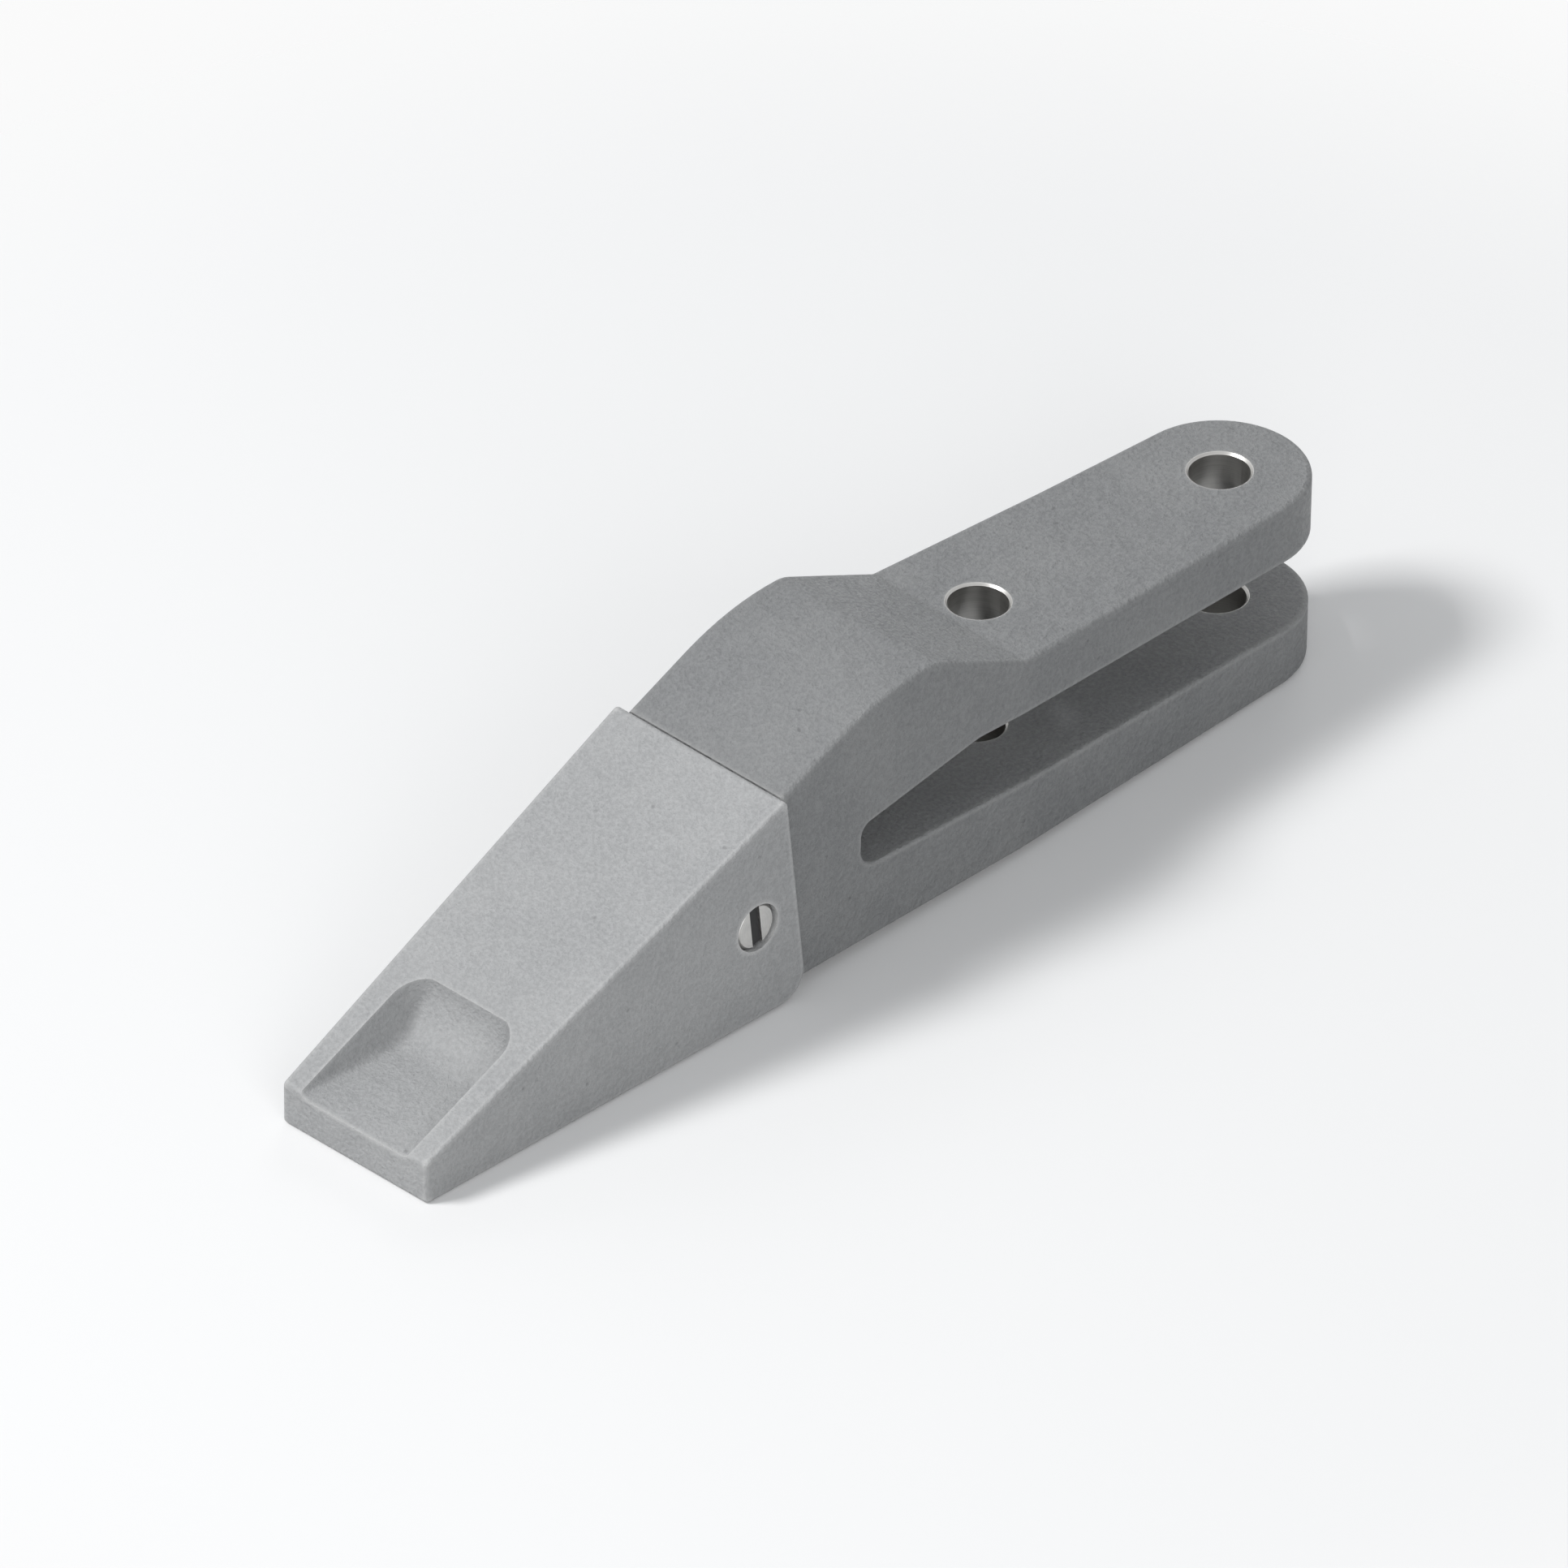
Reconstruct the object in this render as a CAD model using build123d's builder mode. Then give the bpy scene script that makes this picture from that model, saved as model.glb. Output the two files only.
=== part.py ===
# Bolt-on bucket tooth adapter with the digging tooth pinned on its nose.
# Two straps clasp the bucket's lip plate and are bolted through it. The body between them and
# the tooth rises to a hump, and a wedge nose in front of it fills the tooth's socket.
# Millimetres. Origin: midway between the two bolt holes, on the slot face that the lip rests on.
# +X points to the digging tip, +Z up, +Y to the side with the slot and pin hole in view.

import os
from math import atan2, cos, radians, sin, tan

from build123d import *

# Bucket lip and its bolts
lip_thickness = 25.0
lip_clearance = 2.5
bolt_diameter = 20.0
bolt_clearance = 1.0
bolt_spacing = 114.0

# Straps
upper_strap_thickness = 21.5
lower_strap_thickness = 24.5
strap_end_radius = 31.0
bend_behind_front_bolt = 62.0
bend_radius = 300.0
tail_rise = 1.0
underside_fall = 2.2

# Slot
slot_end_height = 16.6
slot_taper_length = 55.0
slot_end_wall = 33.0
slot_floor_radius = 7.0
slot_roof_radius = 5.0
slot_bend_radius = 30.0
jaw_edge = 1.0
hole_edge = 0.8

# Body and hump
bolt_head_room = 14.0
body_length = 109.0
hump_rise = 18.6
hump_crown_radius = 14.0
hump_foot_radius = 5.0
crest_length = 45.5
ramp_length = 29.5
casting_edge = 2.0

# Tooth, measured from its mouth along its own axis, which dips towards the tip
tooth_rise = 0.8
tooth_dip = 8.5
tooth_length = 171.5
mouth_top = 47.4
mouth_width = 80.5
tip_width = 67.8
tip_top_drop = 4.1
tip_thickness = 16.5
tip_lean = 5.9
heel_radius = 11.0
tooth_corner = 2.0
tooth_edge = 1.2

# Steps from the tooth down to the adapter's faces behind it
top_step = 2.3
side_step = 3.7
bottom_step = 4.0

# Nose and socket
nose_length = 82.0
socket_wall = 9.25
nose_inset = 3.5
nose_corner = 6.0
nose_root_radius = 1.2
nose_end_edge = 1.5
fit_clearance = 0.3
mouth_gap = 0.8
end_gap = 0.8

# Scoop in the tooth's top face
scoop_width = 51.0
scoop_start = 114.8
scoop_corner = 13.0
scoop_draft = 18.0
scoop_floor_drop = 6.2
scoop_foot_radius = 4.0
scoop_rim_margin = 1.0

# Cross pin
pin_hole_diameter = 18.0
pin_from_mouth = 18.6
pin_above_axis = 3.4
pin_clearance = 0.3
pin_recess = 1.0
pin_end_edge = 1.0
rubber_thickness = 4.5
rubber_inset = 1.0

# Worked out from the sizes above
slot_height = lip_thickness + lip_clearance
strap_top = slot_height + upper_strap_thickness
front_bolt = bolt_spacing / 2
rear_bolt = -bolt_spacing / 2
rear_end = rear_bolt - strap_end_radius
strap_bend = front_bolt - bend_behind_front_bolt
tail_top = strap_top + (strap_bend - rear_end) * tan(radians(tail_rise))
hump_foot = front_bolt + bolt_head_room
hump_top = strap_top + hump_rise
mouth = hump_foot + body_length
slot_end = mouth - slot_end_wall
slot_taper_start = slot_end - slot_taper_length
body_width = mouth_width - 2 * side_step

# The tooth's own frame: its axis leaves the mouth just above the slot floor's height and dips to the tip
forward = Vector(cos(radians(tooth_dip)), 0, -sin(radians(tooth_dip)))
upward = Vector(sin(radians(tooth_dip)), 0, cos(radians(tooth_dip)))
sideways = Vector(0, 1, 0)
mouth_centre = Vector(mouth, 0, tooth_rise)
tooth_side = Plane(origin=mouth_centre, x_dir=forward, z_dir=-sideways)
tooth_plan = Plane(origin=mouth_centre, x_dir=forward, z_dir=upward)
tooth_face = Plane(origin=mouth_centre, x_dir=sideways, z_dir=forward)


def underside(x):
    """Height of the adapter's underside at x."""
    return -lower_strap_thickness - x * tan(radians(underside_fall))


# The tooth's wedge in that frame, its heel standing below the adapter's underside
underside_at_mouth = (Vector(mouth, 0, underside(mouth)) - mouth_centre).dot(upward)
mouth_bottom = underside_at_mouth - bottom_step
tip_top = (tooth_length, -tip_top_drop)
tip_bottom = (tooth_length + tip_thickness * tan(radians(tip_lean)), -tip_top_drop - tip_thickness)
face_slope = atan2(mouth_top + tip_top_drop, tooth_length)


def tooth_top(distance):
    """Height of the tooth's top face above its axis, at a distance from the mouth."""
    return mouth_top - distance * tan(face_slope)


def tooth_bottom(distance):
    """Height of the tooth's bottom face, at a distance from the mouth."""
    return mouth_bottom + (tip_bottom[1] - mouth_bottom) * distance / tip_bottom[0]


def tooth_width(distance):
    """Width of the tooth, at a distance from the mouth."""
    return mouth_width + (tip_width - mouth_width) * distance / tooth_length


def plan_view(inset):
    """Plan of the tooth's tapering sides, moved in by an inset and drawn on past both ends."""
    past_tip = 2 * tooth_length
    with BuildSketch(tooth_plan) as plan:
        with BuildLine():
            Polyline(
                (-past_tip, tooth_width(-past_tip) / 2 - inset),
                (past_tip, tooth_width(past_tip) / 2 - inset),
                (past_tip, inset - tooth_width(past_tip) / 2),
                (-past_tip, inset - tooth_width(-past_tip) / 2),
                close=True,
            )
        make_face()
    return plan.sketch


def nose_top(distance):
    """Height of the nose's top face, at a distance from the mouth."""
    return tooth_top(distance) - socket_wall


def nose_bottom(distance):
    """Height of the nose's bottom face: the wall under it grows from the mouth to the nose's end."""
    mouth_wall = bottom_step + nose_inset
    return tooth_bottom(distance) + mouth_wall + (socket_wall - mouth_wall) * distance / nose_length


def nose_form(length, clearance):
    """The nose's blunt wedge, or the socket round it where a clearance is given."""
    with BuildPart() as form:
        with BuildSketch(tooth_side):
            with BuildLine():
                Polyline(
                    (-nose_corner, nose_top(-nose_corner) + clearance),
                    (length, nose_top(length) + clearance),
                    (length, nose_bottom(length) - clearance),
                    (-nose_corner, nose_bottom(-nose_corner) - clearance),
                    close=True,
                )
            make_face()
        extrude(amount=mouth_width, both=True)
        extrude(plan_view(socket_wall - clearance), amount=mouth_width, both=True, mode=Mode.INTERSECT)
        long_edges = form.edges() - form.faces().filter_by(tooth_face).edges()
        fillet(long_edges, nose_corner + clearance)
    return form.part


def pin_hole():
    """Outline of the cross-pin hole on the tooth's side plane."""
    with BuildSketch(tooth_side) as hole:
        with Locations((pin_from_mouth, pin_above_axis)):
            Circle(pin_hole_diameter / 2)
    return hole.sketch


# Adapter: one casting
nose = nose_form(nose_length, 0)

with BuildPart() as adapter:
    # Side view: underside, upper strap with its bend, hump, and the ramp up from the tooth.
    # The hump's crest runs on from the ramp in one arc, up to the rounded crown.
    ramp_slope = radians(tooth_dip) + face_slope
    up_the_ramp = (-cos(ramp_slope), sin(ramp_slope))
    ramp_foot = mouth_centre + upward * (mouth_top - top_step)
    ramp_head_x = ramp_foot.X - ramp_length * cos(ramp_slope)
    ramp_head_z = ramp_foot.Z + ramp_length * sin(ramp_slope)
    hump_peak = ramp_head_x - crest_length
    past_mouth = mouth + ramp_length
    with BuildSketch(Plane.XZ) as side_view:
        with BuildLine():
            TangentArc((ramp_head_x, ramp_head_z), (hump_peak, hump_top), tangent=up_the_ramp)
            Polyline(
                (ramp_head_x, ramp_head_z),
                (past_mouth, ramp_head_z - (past_mouth - ramp_head_x) * tan(ramp_slope)),
                (past_mouth, underside(past_mouth)),
                (rear_end, underside(rear_end)),
                (rear_end, tail_top),
                (strap_bend, strap_top),
                (hump_foot, strap_top),
                (hump_peak, hump_top),
            )
        make_face()
        fillet(side_view.vertices().sort_by_distance((hump_peak, hump_top))[0], hump_crown_radius)
        fillet(side_view.vertices().sort_by_distance((hump_foot, strap_top))[0], hump_foot_radius)
        fillet(side_view.vertices().sort_by_distance((strap_bend, strap_top))[0], bend_radius)
    extrude(amount=body_width / 2, both=True)
    # Plan: parallel body, then straps tapering to a round end about the rear bolt
    with BuildSketch():
        with Locations((rear_bolt, 0)):
            Circle(strap_end_radius)
        with Locations((hump_foot, 0)):
            Rectangle(2 * body_length, body_width, align=(Align.MIN, Align.CENTER))
        make_hull()
    extrude(amount=2 * hump_top, both=True, mode=Mode.INTERSECT)
    # Shoulder, a small gap behind the tooth's mouth
    split(bisect_by=tooth_face.offset(-mouth_gap), keep=Keep.BOTTOM)
    # Rounded cast edges all along the top and the underside
    shoulder_edges = adapter.faces().sort_by(Axis((0, 0, 0), forward))[-1].edges()
    rim_edges = adapter.edges().filter_by(Axis.Y, reverse=True).filter_by(Axis.Z, reverse=True)
    fillet(rim_edges - shoulder_edges, casting_edge)

    # Slot for the lip: level jaws, with a roof that comes down in front to a round-cornered end
    with BuildSketch(Plane.XZ) as slot_view:
        with BuildLine():
            Polyline(
                (2 * rear_end, 0),
                (slot_end, 0),
                (slot_end, slot_end_height),
                (slot_taper_start, slot_height),
                (2 * rear_end, slot_height),
                close=True,
            )
        make_face()
        fillet(slot_view.vertices().sort_by_distance((slot_end, 0))[0], slot_floor_radius)
        fillet(slot_view.vertices().sort_by_distance((slot_end, slot_end_height))[0], slot_roof_radius)
        fillet(slot_view.vertices().sort_by_distance((slot_taper_start, slot_height))[0], slot_bend_radius)
    extrude(amount=body_width, both=True, mode=Mode.SUBTRACT)
    jaw_edges = adapter.edges(Select.LAST).filter_by(Axis.Y, reverse=True).filter_by(Axis.Z, reverse=True)
    fillet(jaw_edges, jaw_edge)
    # Bolt holes through both straps, deburred at every mouth
    with GridLocations(bolt_spacing, 0, 2, 1):
        Hole((bolt_diameter + bolt_clearance) / 2)
    chamfer(adapter.edges(Select.LAST).filter_by(GeomType.LINE, reverse=True), hole_edge)

    # Nose: it starts inside the body, and its end is bevelled
    add(nose)
    nose_end = adapter.faces().sort_by(Axis((0, 0, 0), forward))[-1]
    chamfer(nose_end.edges(), nose_end_edge)
    shoulder = adapter.faces().filter_by(tooth_face).sort_by(Axis((0, 0, 0), forward))[0]
    fillet(shoulder.inner_wires()[0].edges(), nose_root_radius)
    extrude(pin_hole(), amount=body_width, both=True, mode=Mode.SUBTRACT)

# Tooth: one casting with a socket behind and a scoop in its top face
with BuildPart() as scoop_space:
    # The rim is drawn on the tooth's top face, and its walls lean in as they go down
    tip_edge = tooth_side.from_local_coords(tip_top)
    down_face = forward * cos(face_slope) - upward * sin(face_slope)
    rim_plane = Plane(origin=tip_edge, x_dir=down_face, z_dir=sideways.cross(down_face))
    rim_length = (tooth_length - scoop_start) / cos(face_slope) + scoop_rim_margin
    scoop_depth = scoop_floor_drop + tooth_top(scoop_start)
    with BuildSketch(rim_plane) as rim:
        Rectangle(2 * rim_length, scoop_width)
        fillet(rim.vertices().group_by(Axis.X)[0], scoop_corner)
    extrude(amount=scoop_depth)
    walls = scoop_space.faces() - scoop_space.faces().filter_by(rim_plane)
    draft(walls, neutral_plane=rim_plane, angle=scoop_draft)
    # The floor runs along the tooth's axis and sweeps up at the rear
    with BuildSketch(tooth_side) as floor_view:
        with Locations((scoop_start, -scoop_floor_drop)):
            Rectangle(tooth_length, mouth_top, align=(Align.MIN, Align.MIN))
        sweep_up = floor_view.vertices().sort_by_distance((scoop_start, -scoop_floor_drop))[0]
        fillet(sweep_up, scoop_depth)
    extrude(amount=scoop_width, both=True, mode=Mode.INTERSECT)
    # Cast radius where the walls stand on the floor
    floor = scoop_space.faces().sort_by(Axis((0, 0, 0), upward))[0]
    fillet(floor.edges().filter_by(Axis.Y, reverse=True), scoop_foot_radius)

socket_space = nose_form(nose_length + end_gap, fit_clearance)

with BuildPart() as tooth_point:
    with BuildSketch(tooth_side) as wedge_view:
        with BuildLine():
            Polyline((0, mouth_top), tip_top, tip_bottom, (0, mouth_bottom), close=True)
        make_face()
        fillet(wedge_view.vertices().sort_by_distance((0, mouth_bottom))[0], heel_radius)
        fillet(wedge_view.vertices().sort_by_distance((0, mouth_bottom))[2:], tooth_corner)
    extrude(amount=mouth_width, both=True)
    extrude(plan_view(0), amount=mouth_width, both=True, mode=Mode.INTERSECT)
    by_side = tooth_point.faces().sort_by(Axis.Y)
    fillet(by_side[0].edges() + by_side[-1].edges(), tooth_edge)
    # Socket: the nose's own form, grown by the fit's clearance
    add(socket_space, mode=Mode.SUBTRACT)
    extrude(pin_hole(), amount=mouth_width, both=True, mode=Mode.SUBTRACT)
    add(scoop_space.part, mode=Mode.SUBTRACT)

# Cross pin: two half-round steels with a rubber strip bonded between them
pin_radius = pin_hole_diameter / 2 - pin_clearance
pin_half_length = tooth_width(pin_from_mouth) / 2 - pin_recess

with BuildPart() as pin_front_half:
    with BuildSketch(tooth_side):
        with Locations((pin_from_mouth, pin_above_axis)):
            Circle(pin_radius)
        with Locations((pin_from_mouth + rubber_thickness / 2, pin_above_axis)):
            Rectangle(2 * pin_radius, 2 * pin_radius, align=(Align.MIN, Align.CENTER), mode=Mode.INTERSECT)
    extrude(amount=pin_half_length, both=True)
    chamfer(pin_front_half.edges().filter_by(GeomType.CIRCLE), pin_end_edge)

with BuildPart() as pin_rear_half:
    with BuildSketch(tooth_side):
        with Locations((pin_from_mouth, pin_above_axis)):
            Circle(pin_radius)
        with Locations((pin_from_mouth - rubber_thickness / 2, pin_above_axis)):
            Rectangle(2 * pin_radius, 2 * pin_radius, align=(Align.MAX, Align.CENTER), mode=Mode.INTERSECT)
    extrude(amount=pin_half_length, both=True)
    chamfer(pin_rear_half.edges().filter_by(GeomType.CIRCLE), pin_end_edge)

with BuildPart() as pin_rubber_core:
    with BuildSketch(tooth_side):
        with Locations((pin_from_mouth, pin_above_axis)):
            Circle(pin_radius - rubber_inset)
            Rectangle(rubber_thickness, 2 * pin_radius, mode=Mode.INTERSECT)
    extrude(amount=pin_half_length - rubber_inset, both=True)

adapter.part.label = "adapter"
tooth_point.part.label = "tooth_point"
pin_front_half.part.label = "pin_front_half"
pin_rear_half.part.label = "pin_rear_half"
pin_rubber_core.part.label = "pin_rubber_core"

os.makedirs("parts", exist_ok=True)
export_step(adapter.part, "parts/adapter.step")
export_step(tooth_point.part, "parts/tooth_point.step")
export_step(pin_front_half.part, "parts/pin_front_half.step")
export_step(pin_rear_half.part, "parts/pin_rear_half.step")
export_step(pin_rubber_core.part, "parts/pin_rubber_core.step")
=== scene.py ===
from math import atan2, radians

import bpy
from mathutils import Matrix, Vector


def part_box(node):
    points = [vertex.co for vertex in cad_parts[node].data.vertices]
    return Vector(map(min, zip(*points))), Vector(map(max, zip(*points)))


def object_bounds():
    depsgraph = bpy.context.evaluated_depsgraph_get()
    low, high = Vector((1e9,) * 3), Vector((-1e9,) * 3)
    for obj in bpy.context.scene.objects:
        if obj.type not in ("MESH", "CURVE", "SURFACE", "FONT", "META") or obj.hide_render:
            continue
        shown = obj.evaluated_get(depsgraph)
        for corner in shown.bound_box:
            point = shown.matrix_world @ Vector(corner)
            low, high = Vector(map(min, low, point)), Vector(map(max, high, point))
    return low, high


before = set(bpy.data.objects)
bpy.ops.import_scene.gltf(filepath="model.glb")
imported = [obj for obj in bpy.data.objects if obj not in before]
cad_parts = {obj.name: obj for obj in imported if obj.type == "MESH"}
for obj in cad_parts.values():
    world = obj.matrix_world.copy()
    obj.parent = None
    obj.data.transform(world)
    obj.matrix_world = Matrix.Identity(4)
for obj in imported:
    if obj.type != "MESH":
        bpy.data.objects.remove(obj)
cad_low, cad_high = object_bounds()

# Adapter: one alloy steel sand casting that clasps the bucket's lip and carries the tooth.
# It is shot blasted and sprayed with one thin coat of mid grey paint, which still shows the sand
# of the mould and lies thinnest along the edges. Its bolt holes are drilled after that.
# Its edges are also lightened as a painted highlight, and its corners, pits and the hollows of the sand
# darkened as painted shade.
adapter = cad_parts["adapter"]
bolt_spacing = 0.114
bolt_hole_rim = 0.0114


def cast_skin_group():
    """A sand casting's skin: its height in millimetres, and masks of its grain, patches and pits."""
    group = bpy.data.node_groups.new("cast_skin", "ShaderNodeTree")
    face = group.interface
    face.new_socket("Place", in_out="INPUT", socket_type="NodeSocketVector")
    for name in ("Sand", "Ripple", "Pit Depth"):
        face.new_socket(name, in_out="INPUT", socket_type="NodeSocketFloat")
    for name in ("Height", "Grain", "Patches", "Pits"):
        face.new_socket(name, in_out="OUTPUT", socket_type="NodeSocketFloat")
    nodes, links = group.nodes, group.links
    given = nodes.new("NodeGroupInput")
    made = nodes.new("NodeGroupOutput")

    def cloud(grains_per_metre, detail, roughness):
        noise = nodes.new("ShaderNodeTexNoise")
        noise.inputs["Scale"].default_value = grains_per_metre
        noise.inputs["Detail"].default_value = detail
        noise.inputs["Roughness"].default_value = roughness
        links.new(given.outputs["Place"], noise.inputs["Vector"])
        return noise

    def combine(operation, one, other):
        math = nodes.new("ShaderNodeMath")
        math.operation = operation
        links.new(one, math.inputs[0])
        links.new(other, math.inputs[1])
        return math.outputs[0]

    def ramp(value, low, high):
        """A smooth step from 0 at low to 1 at high."""
        step = nodes.new("ShaderNodeMapRange")
        step.interpolation_type = "SMOOTHSTEP"
        step.inputs["From Min"].default_value = low
        step.inputs["From Max"].default_value = high
        links.new(value, step.inputs["Value"])
        return step.outputs["Result"]

    sand = cloud(640, detail=4.0, roughness=0.62).outputs["Fac"]
    ripple = cloud(120, detail=3.0, roughness=0.55).outputs["Fac"]
    patches = cloud(24, detail=3.0, roughness=0.6).outputs["Fac"]

    # Gas pits: ragged dimples in a few of the cells only
    pits_per_metre = 170
    raggedness = 0.0016
    pit_rim, pit_bottom = 0.20, 0.04
    bare_cells = 0.70
    ragged = nodes.new("ShaderNodeVectorMath")
    ragged.operation = "MULTIPLY_ADD"
    links.new(cloud(700, detail=2.0, roughness=0.5).outputs["Color"], ragged.inputs[0])
    ragged.inputs[1].default_value = (raggedness, raggedness, raggedness)
    links.new(given.outputs["Place"], ragged.inputs[2])
    cells = nodes.new("ShaderNodeTexVoronoi")
    cells.inputs["Scale"].default_value = pits_per_metre
    links.new(ragged.outputs["Vector"], cells.inputs["Vector"])
    chosen = nodes.new("ShaderNodeSeparateColor")
    links.new(cells.outputs["Color"], chosen.inputs["Color"])
    dimple = ramp(cells.outputs["Distance"], pit_rim, pit_bottom)
    pits = combine("MULTIPLY", dimple, ramp(chosen.outputs["Red"], bare_cells, 1.0))

    height = combine("MULTIPLY", sand, given.outputs["Sand"])
    height = combine("ADD", height, combine("MULTIPLY", ripple, given.outputs["Ripple"]))
    height = combine("SUBTRACT", height, combine("MULTIPLY", pits, given.outputs["Pit Depth"]))
    links.new(height, made.inputs["Height"])
    links.new(ramp(sand, 0.36, 0.66), made.inputs["Grain"])
    links.new(ramp(patches, 0.3, 0.7), made.inputs["Patches"])
    links.new(pits, made.inputs["Pits"])
    return group


def edge_group():
    """Where a casting's outer edges stand out, for thin paint and a painted highlight, and where its
    corners are sheltered, for painted shade, each from 0 to 1.
    """
    group = bpy.data.node_groups.new("edges_and_corners", "ShaderNodeTree")
    face = group.interface
    for name in ("Edge Highlight", "Corner Shade"):
        face.new_socket(name, in_out="OUTPUT", socket_type="NodeSocketFloat")
    nodes, links = group.nodes, group.links
    made = nodes.new("NodeGroupOutput")
    for name, inside, reach, mask_starts, mask_full in (
        ("Edge Highlight", True, 0.0035, 0.86, 0.52),
        ("Corner Shade", False, 0.010, 0.95, 0.35),
    ):
        shelter = nodes.new("ShaderNodeAmbientOcclusion")
        shelter.inside = inside
        shelter.only_local = True
        shelter.samples = 8
        shelter.inputs["Distance"].default_value = reach
        share = nodes.new("ShaderNodeMapRange")
        share.interpolation_type = "SMOOTHSTEP"
        share.inputs["From Min"].default_value = mask_starts
        share.inputs["From Max"].default_value = mask_full
        links.new(shelter.outputs["AO"], share.inputs["Value"])
        links.new(share.outputs["Result"], made.inputs[name])
    return group


cast_skin = cast_skin_group()
edges_and_corners = edge_group()


def painted_casting(name, paint, thin_paint, painted_shade, sand, ripple, pit_depth):
    """One thin coat of paint on a blasted steel casting, whose relief is given in millimetres."""
    millimetre = 0.001
    hollow_shade_tone, grain_top_highlight_tone = 0.91, 1.05
    hollow_roughness, grain_roughness = 0.58, 0.36
    material = bpy.data.materials.new(name)
    material.use_nodes = True
    nodes, links = material.node_tree.nodes, material.node_tree.links
    coated = nodes["Principled BSDF"]
    coated.inputs["Specular IOR Level"].default_value = 0.3
    place = nodes.new("ShaderNodeTexCoord")
    skin = nodes.new("ShaderNodeGroup")
    skin.node_tree = cast_skin
    skin.inputs["Sand"].default_value = sand
    skin.inputs["Ripple"].default_value = ripple
    skin.inputs["Pit Depth"].default_value = pit_depth
    links.new(place.outputs["Object"], skin.inputs["Place"])
    edges = nodes.new("ShaderNodeGroup")
    edges.node_tree = edges_and_corners

    def lay(under, over, mask, share):
        """A colour laid over another by a share of a mask."""
        weight = nodes.new("ShaderNodeMath")
        weight.operation = "MULTIPLY"
        weight.inputs[1].default_value = share
        links.new(mask, weight.inputs[0])
        mix = nodes.new("ShaderNodeMix")
        mix.data_type = "RGBA"
        links.new(weight.outputs[0], mix.inputs["Factor"])
        links.new(under, mix.inputs["A"])
        mix.inputs["B"].default_value = (*over, 1)
        return mix.outputs["Result"]

    # Painted shade and painted highlight: the paint is darker in the hollows of the sand's grain and
    # lighter on the grain tops
    coat = nodes.new("ShaderNodeMix")
    coat.data_type = "RGBA"
    coat.inputs["A"].default_value = (*[hollow_shade_tone * c for c in paint], 1)
    coat.inputs["B"].default_value = (*[grain_top_highlight_tone * c for c in paint], 1)
    links.new(skin.outputs["Grain"], coat.inputs["Factor"])
    colour = lay(coat.outputs["Result"], thin_paint, skin.outputs["Patches"], share=0.16)
    # Painted shade darkens the gas pits
    colour = lay(colour, painted_shade, skin.outputs["Pits"], share=0.5)
    # Painted shade darkens the sheltered corners
    colour = lay(colour, painted_shade, edges.outputs["Corner Shade"], share=0.35)
    # The edges are lighter where the paint lies thin, with a painted highlight laid over them as well
    colour = lay(colour, thin_paint, edges.outputs["Edge Highlight"], share=0.75)
    links.new(colour, coated.inputs["Base Color"])

    gloss = nodes.new("ShaderNodeMapRange")
    gloss.inputs["To Min"].default_value = hollow_roughness
    gloss.inputs["To Max"].default_value = grain_roughness
    links.new(skin.outputs["Grain"], gloss.inputs["Value"])
    links.new(gloss.outputs["Result"], coated.inputs["Roughness"])

    bump = nodes.new("ShaderNodeBump")
    bump.inputs["Distance"].default_value = millimetre
    links.new(skin.outputs["Height"], bump.inputs["Height"])
    links.new(bump.outputs["Normal"], coated.inputs["Normal"])
    return material


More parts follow.
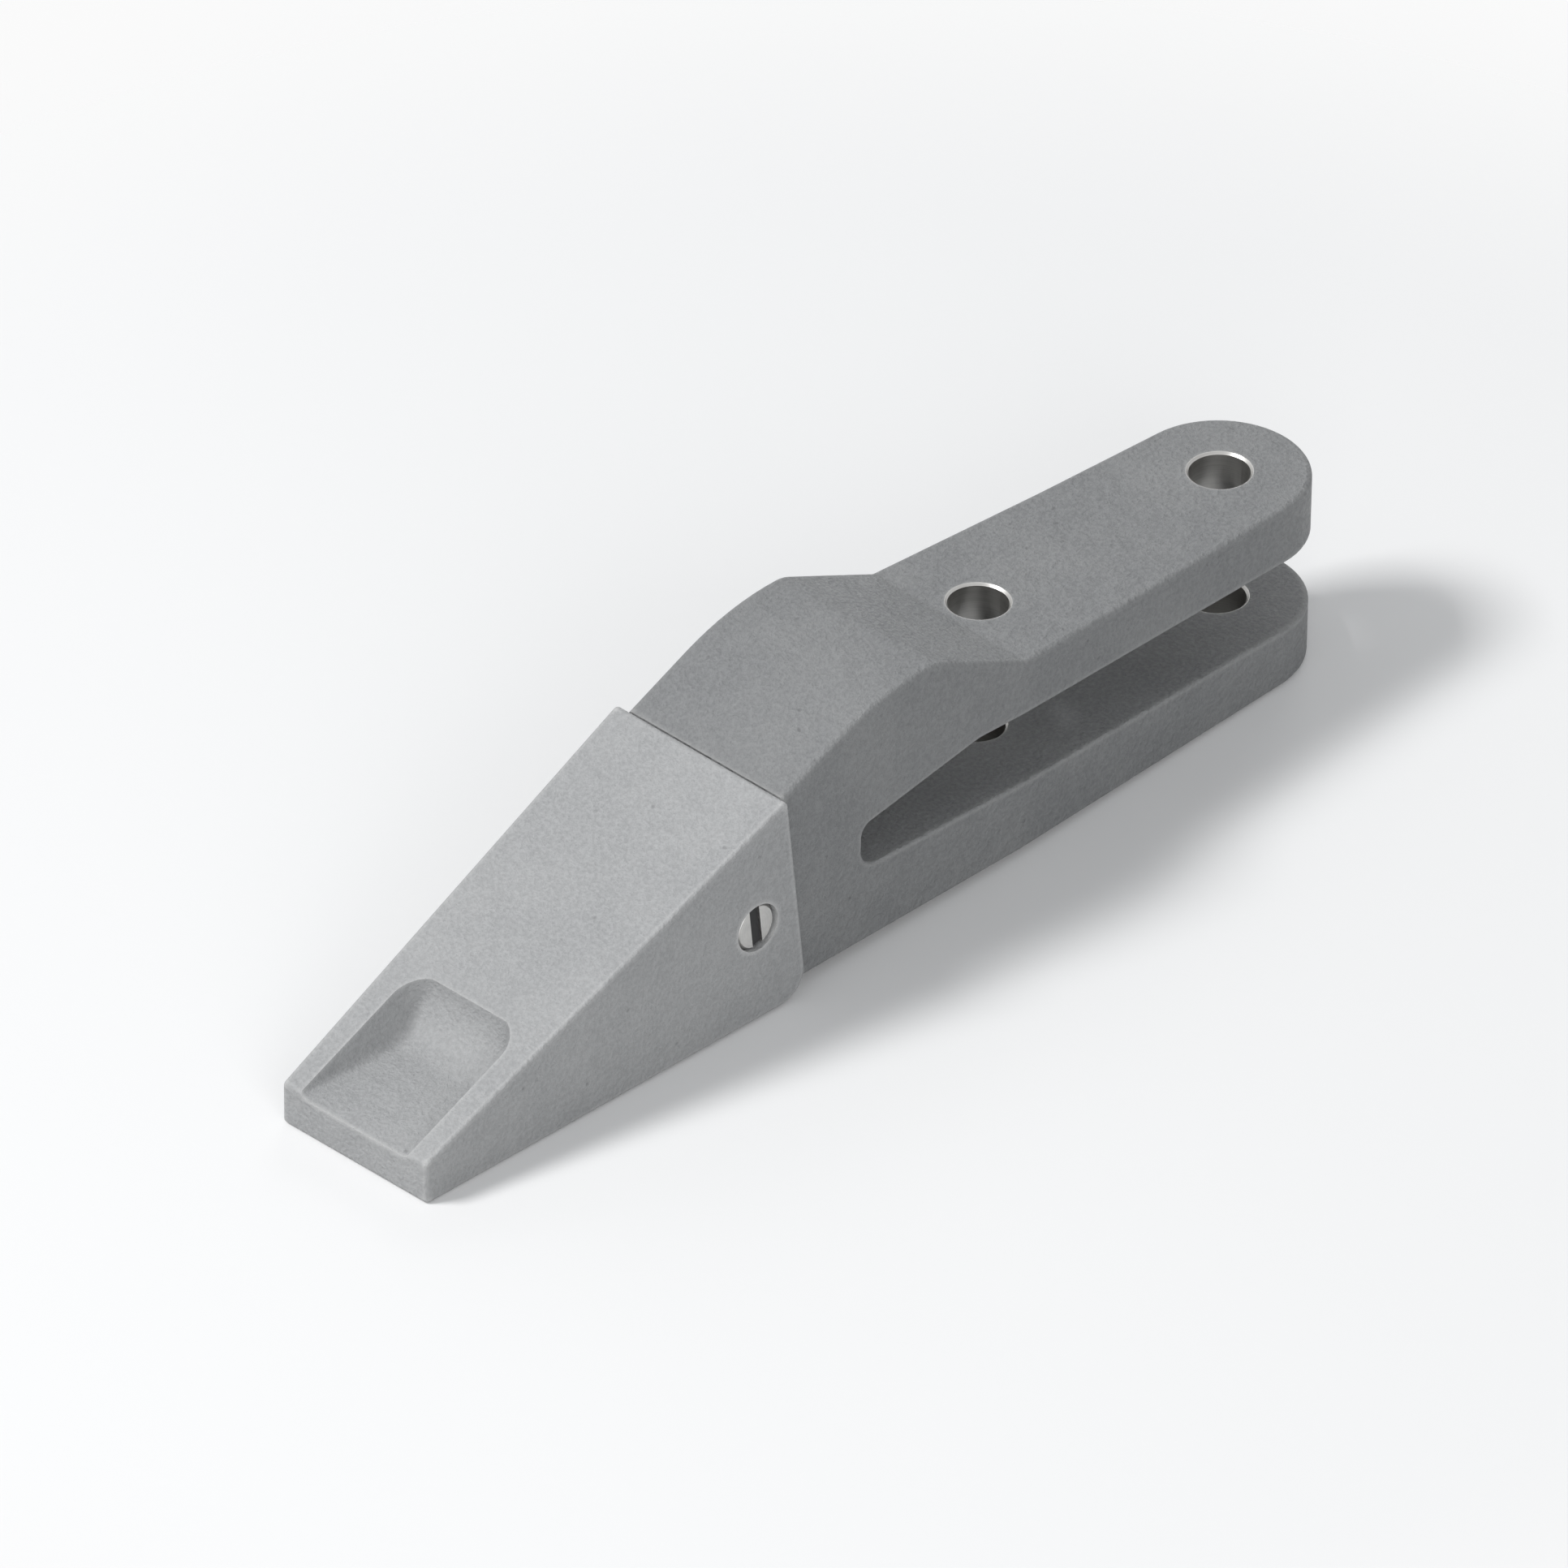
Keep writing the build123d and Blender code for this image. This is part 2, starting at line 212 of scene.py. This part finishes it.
def bare_bores(material):
    """Drilled steel in and round the bolt holes, in place of the paint and the sand's grain."""
    marks_per_metre = (60, 60, 2600)
    mark_height = 0.03
    nodes, links = material.node_tree.nodes, material.node_tree.links
    coated = nodes["Principled BSDF"]
    place = nodes.new("ShaderNodeTexCoord")
    axes = nodes.new("ShaderNodeSeparateXYZ")
    links.new(place.outputs["Object"], axes.inputs["Vector"])

    def figure(operation, one, other):
        math = nodes.new("ShaderNodeMath")
        math.operation = operation
        for socket, value in zip(math.inputs, (one, other)):
            if isinstance(value, float):
                socket.default_value = value
            else:
                links.new(value, socket)
        return math.outputs[0]

    # Distance from the nearer bolt's axis: the two stand alike on either side of the origin
    along = figure("SUBTRACT", figure("ABSOLUTE", axes.outputs["X"], 0.0), bolt_spacing / 2)
    squares = figure("ADD", figure("POWER", along, 2.0), figure("POWER", axes.outputs["Y"], 2.0))
    drilled = figure("LESS_THAN", squares, bolt_hole_rim**2)

    # The drill leaves fine rings, so the marks are drawn out along the bore's round wall
    drawn_out = nodes.new("ShaderNodeMapping")
    drawn_out.inputs["Scale"].default_value = marks_per_metre
    links.new(place.outputs["Object"], drawn_out.inputs["Vector"])
    rings = nodes.new("ShaderNodeTexNoise")
    rings.inputs["Scale"].default_value = 1.0
    rings.inputs["Detail"].default_value = 3.0
    links.new(drawn_out.outputs["Vector"], rings.inputs["Vector"])
    steel = nodes.new("ShaderNodeMix")
    steel.data_type = "RGBA"
    steel.inputs["A"].default_value = (0.34, 0.335, 0.325, 1)
    steel.inputs["B"].default_value = (0.58, 0.575, 0.56, 1)
    links.new(rings.outputs["Fac"], steel.inputs["Factor"])

    def swap(socket, over, data_type):
        """What reaches a socket of the shader stays on the casting and gives way in the bores."""
        mix = nodes.new("ShaderNodeMix")
        mix.data_type = data_type
        inlets = [i for i in mix.inputs if i.enabled]
        links.new(drilled, inlets[0])
        links.new(socket.links[0].from_socket, inlets[1])
        links.new(over, inlets[2])
        links.new([o for o in mix.outputs if o.enabled][0], socket)

    swap(coated.inputs["Base Color"], steel.outputs["Result"], "RGBA")
    gloss = nodes.new("ShaderNodeMapRange")
    gloss.inputs["To Min"].default_value = 0.26
    gloss.inputs["To Max"].default_value = 0.46
    links.new(rings.outputs["Fac"], gloss.inputs["Value"])
    swap(coated.inputs["Roughness"], gloss.outputs["Result"], "FLOAT")
    links.new(drilled, coated.inputs["Metallic"])
    ring_height = figure("MULTIPLY", rings.outputs["Fac"], mark_height)
    swap(coated.inputs["Normal"].links[0].from_node.inputs["Height"], ring_height, "FLOAT")


adapter_paint = painted_casting(
    "adapter_grey_paint",
    paint=(0.25, 0.255, 0.26),
    thin_paint=(0.46, 0.46, 0.455),
    painted_shade=(0.12, 0.12, 0.125),
    sand=0.90,
    ripple=1.2,
    pit_depth=0.15,
)
bare_bores(adapter_paint)
adapter.data.materials.clear()
adapter.data.materials.append(adapter_paint)

# Tooth point: a second steel casting, pinned on the nose and changed when it is worn.
# It is cast in finer sand than the adapter, and its thin coat of paint is a lighter grey.
tooth_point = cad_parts["tooth_point"]
tooth_point.data.materials.clear()
tooth_point.data.materials.append(
    painted_casting(
        "tooth_grey_paint",
        paint=(0.40, 0.405, 0.41),
        thin_paint=(0.62, 0.62, 0.615),
        painted_shade=(0.20, 0.20, 0.205),
        sand=0.70,
        ripple=1.0,
        pit_depth=0.15,
    )
)

# Cross pin: two half-round steels turned from bar and left bare, with a rubber strip bonded
# between them. The rubber is squeezed as the pin is driven in, and holds it there.
pin_halves = [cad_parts["pin_front_half"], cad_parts["pin_rear_half"]]
pin_boxes = [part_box(half.name) for half in pin_halves]
pin_low = [min(box[0][axis] for box in pin_boxes) for axis in range(3)]
pin_high = [max(box[1][axis] for box in pin_boxes) for axis in range(3)]
pin_centre = [(low + high) / 2 for low, high in zip(pin_low, pin_high)]


def turned_steel():
    """Bare steel with the rings that a lathe tool leaves, round the pin's axis."""
    rings_per_metre = 260
    ring_depth = 0.00005
    smears_per_metre = 300
    material = bpy.data.materials.new("turned_steel")
    material.use_nodes = True
    nodes, links = material.node_tree.nodes, material.node_tree.links
    steel = nodes["Principled BSDF"]
    steel.inputs["Metallic"].default_value = 1.0
    place = nodes.new("ShaderNodeTexCoord")
    centred = nodes.new("ShaderNodeMapping")
    centred.vector_type = "POINT"
    centred.inputs["Location"].default_value = [-c for c in pin_centre]
    links.new(place.outputs["Object"], centred.inputs["Vector"])
    rings = nodes.new("ShaderNodeTexWave")
    rings.wave_type = "RINGS"
    rings.rings_direction = "Y"
    rings.inputs["Scale"].default_value = rings_per_metre
    rings.inputs["Distortion"].default_value = 0.4
    rings.inputs["Detail"].default_value = 2.0
    links.new(centred.outputs["Vector"], rings.inputs["Vector"])
    smear = nodes.new("ShaderNodeTexNoise")
    smear.inputs["Scale"].default_value = smears_per_metre
    smear.inputs["Detail"].default_value = 3.0
    links.new(place.outputs["Object"], smear.inputs["Vector"])
    tone = nodes.new("ShaderNodeMix")
    tone.data_type = "RGBA"
    tone.inputs["A"].default_value = (0.50, 0.50, 0.49, 1)
    tone.inputs["B"].default_value = (0.68, 0.67, 0.65, 1)
    links.new(smear.outputs["Fac"], tone.inputs["Factor"])
    links.new(tone.outputs["Result"], steel.inputs["Base Color"])
    gloss = nodes.new("ShaderNodeMapRange")
    gloss.inputs["To Min"].default_value = 0.28
    gloss.inputs["To Max"].default_value = 0.44
    links.new(rings.outputs["Fac"], gloss.inputs["Value"])
    links.new(gloss.outputs["Result"], steel.inputs["Roughness"])
    bump = nodes.new("ShaderNodeBump")
    bump.inputs["Strength"].default_value = 0.5
    bump.inputs["Distance"].default_value = ring_depth
    links.new(rings.outputs["Fac"], bump.inputs["Height"])
    links.new(bump.outputs["Normal"], steel.inputs["Normal"])
    return material


def bonded_rubber():
    """Matt black rubber with the fine grain of its mould."""
    grains_per_metre = 1400
    grain_depth = 0.0001
    material = bpy.data.materials.new("bonded_rubber")
    material.use_nodes = True
    nodes, links = material.node_tree.nodes, material.node_tree.links
    rubber = nodes["Principled BSDF"]
    place = nodes.new("ShaderNodeTexCoord")
    grain = nodes.new("ShaderNodeTexNoise")
    grain.inputs["Scale"].default_value = grains_per_metre
    grain.inputs["Detail"].default_value = 3.0
    links.new(place.outputs["Object"], grain.inputs["Vector"])
    tone = nodes.new("ShaderNodeMix")
    tone.data_type = "RGBA"
    tone.inputs["A"].default_value = (0.016, 0.016, 0.017, 1)
    tone.inputs["B"].default_value = (0.035, 0.035, 0.036, 1)
    links.new(grain.outputs["Fac"], tone.inputs["Factor"])
    links.new(tone.outputs["Result"], rubber.inputs["Base Color"])
    gloss = nodes.new("ShaderNodeMapRange")
    gloss.inputs["To Min"].default_value = 0.62
    gloss.inputs["To Max"].default_value = 0.85
    links.new(grain.outputs["Fac"], gloss.inputs["Value"])
    links.new(gloss.outputs["Result"], rubber.inputs["Roughness"])
    bump = nodes.new("ShaderNodeBump")
    bump.inputs["Strength"].default_value = 0.4
    bump.inputs["Distance"].default_value = grain_depth
    links.new(grain.outputs["Fac"], bump.inputs["Height"])
    links.new(bump.outputs["Normal"], rubber.inputs["Normal"])
    return material


steel_finish = turned_steel()
for half in pin_halves:
    half.data.materials.clear()
    half.data.materials.append(steel_finish)
pin_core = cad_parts["pin_rubber_core"]
pin_core.data.materials.clear()
pin_core.data.materials.append(bonded_rubber())

# Floor: a plain pale board, laid where the part comes to rest on the tooth's heel and the lower
# strap's end, so it is tipped by a few degrees under the part, which keeps its own frame.
# Close to the part it takes the shadow, and farther out it fades into the backdrop.
middle = (cad_low + cad_high) / 2
floor_side = 6.0
floor_tone, floor_tone_seen = 0.60, 0.92
floor_glow_seen = 0.05
fade_start, fade_end = 0.38, 0.58

# Each pass finds the lowest points before and behind the middle, measured from the last slope
low_points = [vertex.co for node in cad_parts.values() for vertex in node.data.vertices]
rest_slope = 0.0
for _ in range(12):
    low_points.sort(key=lambda point: point.z - rest_slope * point.x)
    rear_point = next(point for point in low_points if point.x < middle.x)
    front_point = next(point for point in low_points if point.x >= middle.x)
    rest_slope = (front_point.z - rear_point.z) / (front_point.x - rear_point.x)


def seen_share(nodes, links):
    """1 for the camera, also by way of a reflection or through glass, and 0 for all other light."""
    rays = nodes.new("ShaderNodeLightPath")
    share = rays.outputs["Is Camera Ray"]
    for kind in ("Is Glossy Ray", "Is Transmission Ray"):
        either = nodes.new("ShaderNodeMath")
        either.operation = "MAXIMUM"
        links.new(share, either.inputs[0])
        links.new(rays.outputs[kind], either.inputs[1])
        share = either.outputs[0]
    return share


bpy.ops.object.select_all(action="DESELECT")
under_middle = rear_point.z + rest_slope * (middle.x - rear_point.x)
bpy.ops.mesh.primitive_plane_add(size=floor_side, location=(middle.x, 0, under_middle))
floor = bpy.context.object
floor.name = "floor"
floor.rotation_euler = (0, -atan2(rest_slope, 1), 0)
floor_white = bpy.data.materials.new("floor_white")
floor_white.use_nodes = True
nodes, links = floor_white.node_tree.nodes, floor_white.node_tree.links
board = nodes["Principled BSDF"]
board.inputs["Roughness"].default_value = 0.9
board.inputs["Specular IOR Level"].default_value = 0.1
seen = seen_share(nodes, links)
tone = nodes.new("ShaderNodeMix")
tone.data_type = "RGBA"
tone.inputs["A"].default_value = (floor_tone, floor_tone, floor_tone, 1)
tone.inputs["B"].default_value = (floor_tone_seen, floor_tone_seen, floor_tone_seen, 1)
links.new(seen, tone.inputs["Factor"])
links.new(tone.outputs["Result"], board.inputs["Base Color"])
glow = nodes.new("ShaderNodeMath")
glow.operation = "MULTIPLY"
glow.inputs[1].default_value = floor_glow_seen
links.new(seen, glow.inputs[0])
links.new(glow.outputs[0], board.inputs["Emission Strength"])

# To the camera it is clear far from the part, and from below
place = nodes.new("ShaderNodeTexCoord")
reach = nodes.new("ShaderNodeVectorMath")
reach.operation = "LENGTH"
links.new(place.outputs["Object"], reach.inputs[0])
fade = nodes.new("ShaderNodeMapRange")
fade.interpolation_type = "SMOOTHSTEP"
fade.inputs["From Min"].default_value = fade_start
fade.inputs["From Max"].default_value = fade_end
links.new(reach.outputs["Value"], fade.inputs["Value"])
rays = nodes.new("ShaderNodeLightPath")
side_seen = nodes.new("ShaderNodeNewGeometry")
clear = nodes.new("ShaderNodeMath")
clear.operation = "MAXIMUM"
links.new(fade.outputs["Result"], clear.inputs[0])
links.new(side_seen.outputs["Backfacing"], clear.inputs[1])
clear_to_camera = nodes.new("ShaderNodeMath")
clear_to_camera.operation = "MULTIPLY"
links.new(clear.outputs[0], clear_to_camera.inputs[0])
links.new(rays.outputs["Is Camera Ray"], clear_to_camera.inputs[1])
nothing = nodes.new("ShaderNodeBsdfTransparent")
laid = nodes.new("ShaderNodeMixShader")
links.new(clear_to_camera.outputs[0], laid.inputs[0])
links.new(board.outputs[0], laid.inputs[1])
links.new(nothing.outputs[0], laid.inputs[2])
links.new(laid.outputs[0], nodes["Material Output"].inputs["Surface"])
floor.data.materials.append(floor_white)

# Studio: a pale room, which the camera sees brighter than it shines, and three soft square lamps.
# The lamps stand well back for an even floor, and a colour renders about as it is written.
room_tint = (0.95, 0.975, 1.0, 1)
room_strength = 0.36
backdrop_white = (0.96, 0.96, 0.96, 1)
world = bpy.data.worlds.new("studio")
bpy.context.scene.world = world
world.use_nodes = True
nodes, links = world.node_tree.nodes, world.node_tree.links
room = nodes["Background"]
room.inputs["Color"].default_value = room_tint
room.inputs["Strength"].default_value = room_strength
backdrop = nodes.new("ShaderNodeBackground")
backdrop.inputs["Color"].default_value = backdrop_white
choice = nodes.new("ShaderNodeMixShader")
links.new(seen_share(nodes, links), choice.inputs[0])
links.new(room.outputs[0], choice.inputs[1])
links.new(backdrop.outputs[0], choice.inputs[2])
links.new(choice.outputs[0], nodes["World Output"].inputs["Surface"])

for name, from_middle, side, power in (
    ("key_lamp", Vector((3.1, -2.1, 4.0)), 1.5, 190),
    ("side_lamp", Vector((2.2, 3.2, 1.4)), 2.4, 48),
    ("rear_lamp", Vector((-3.2, -2.2, 2.4)), 1.8, 16),
):
    lamp = bpy.data.lights.new(name, "AREA")
    lamp.shape = "SQUARE"
    lamp.size = side
    lamp.energy = power
    stand = bpy.data.objects.new(name, lamp)
    bpy.context.scene.collection.objects.link(stand)
    stand.location = middle + from_middle
    stand.rotation_euler = (-from_middle).to_track_quat("-Z", "Y").to_euler()

# Camera: the drawing is isometric on the tooth's level, from which the straps fall away a little.
# It has no perspective, so the camera's rays are parallel and its distance changes nothing.
strap_fall = radians(2.2)
picture_side = 0.5237
picture_centre = Vector((0.0891, -0.0564, -0.0376))
camera_distance = 1.5
tooth_level = Matrix.Rotation(strap_fall, 3, "Y")
towards_camera = tooth_level @ Vector((1, 1, 1)).normalized()
upright = tooth_level @ Vector((0, 0, 1))
right = upright.cross(towards_camera).normalized()
lens = bpy.data.cameras.new("camera")
lens.type = "ORTHO"
lens.ortho_scale = picture_side
camera = bpy.data.objects.new("camera", lens)
bpy.context.scene.collection.objects.link(camera)
turn = Matrix((right, towards_camera.cross(right), towards_camera)).transposed()
camera.matrix_world = Matrix.Translation(picture_centre + camera_distance * towards_camera) @ turn.to_4x4()
bpy.context.scene.camera = camera
bpy.context.scene.view_settings.view_transform = "Standard"
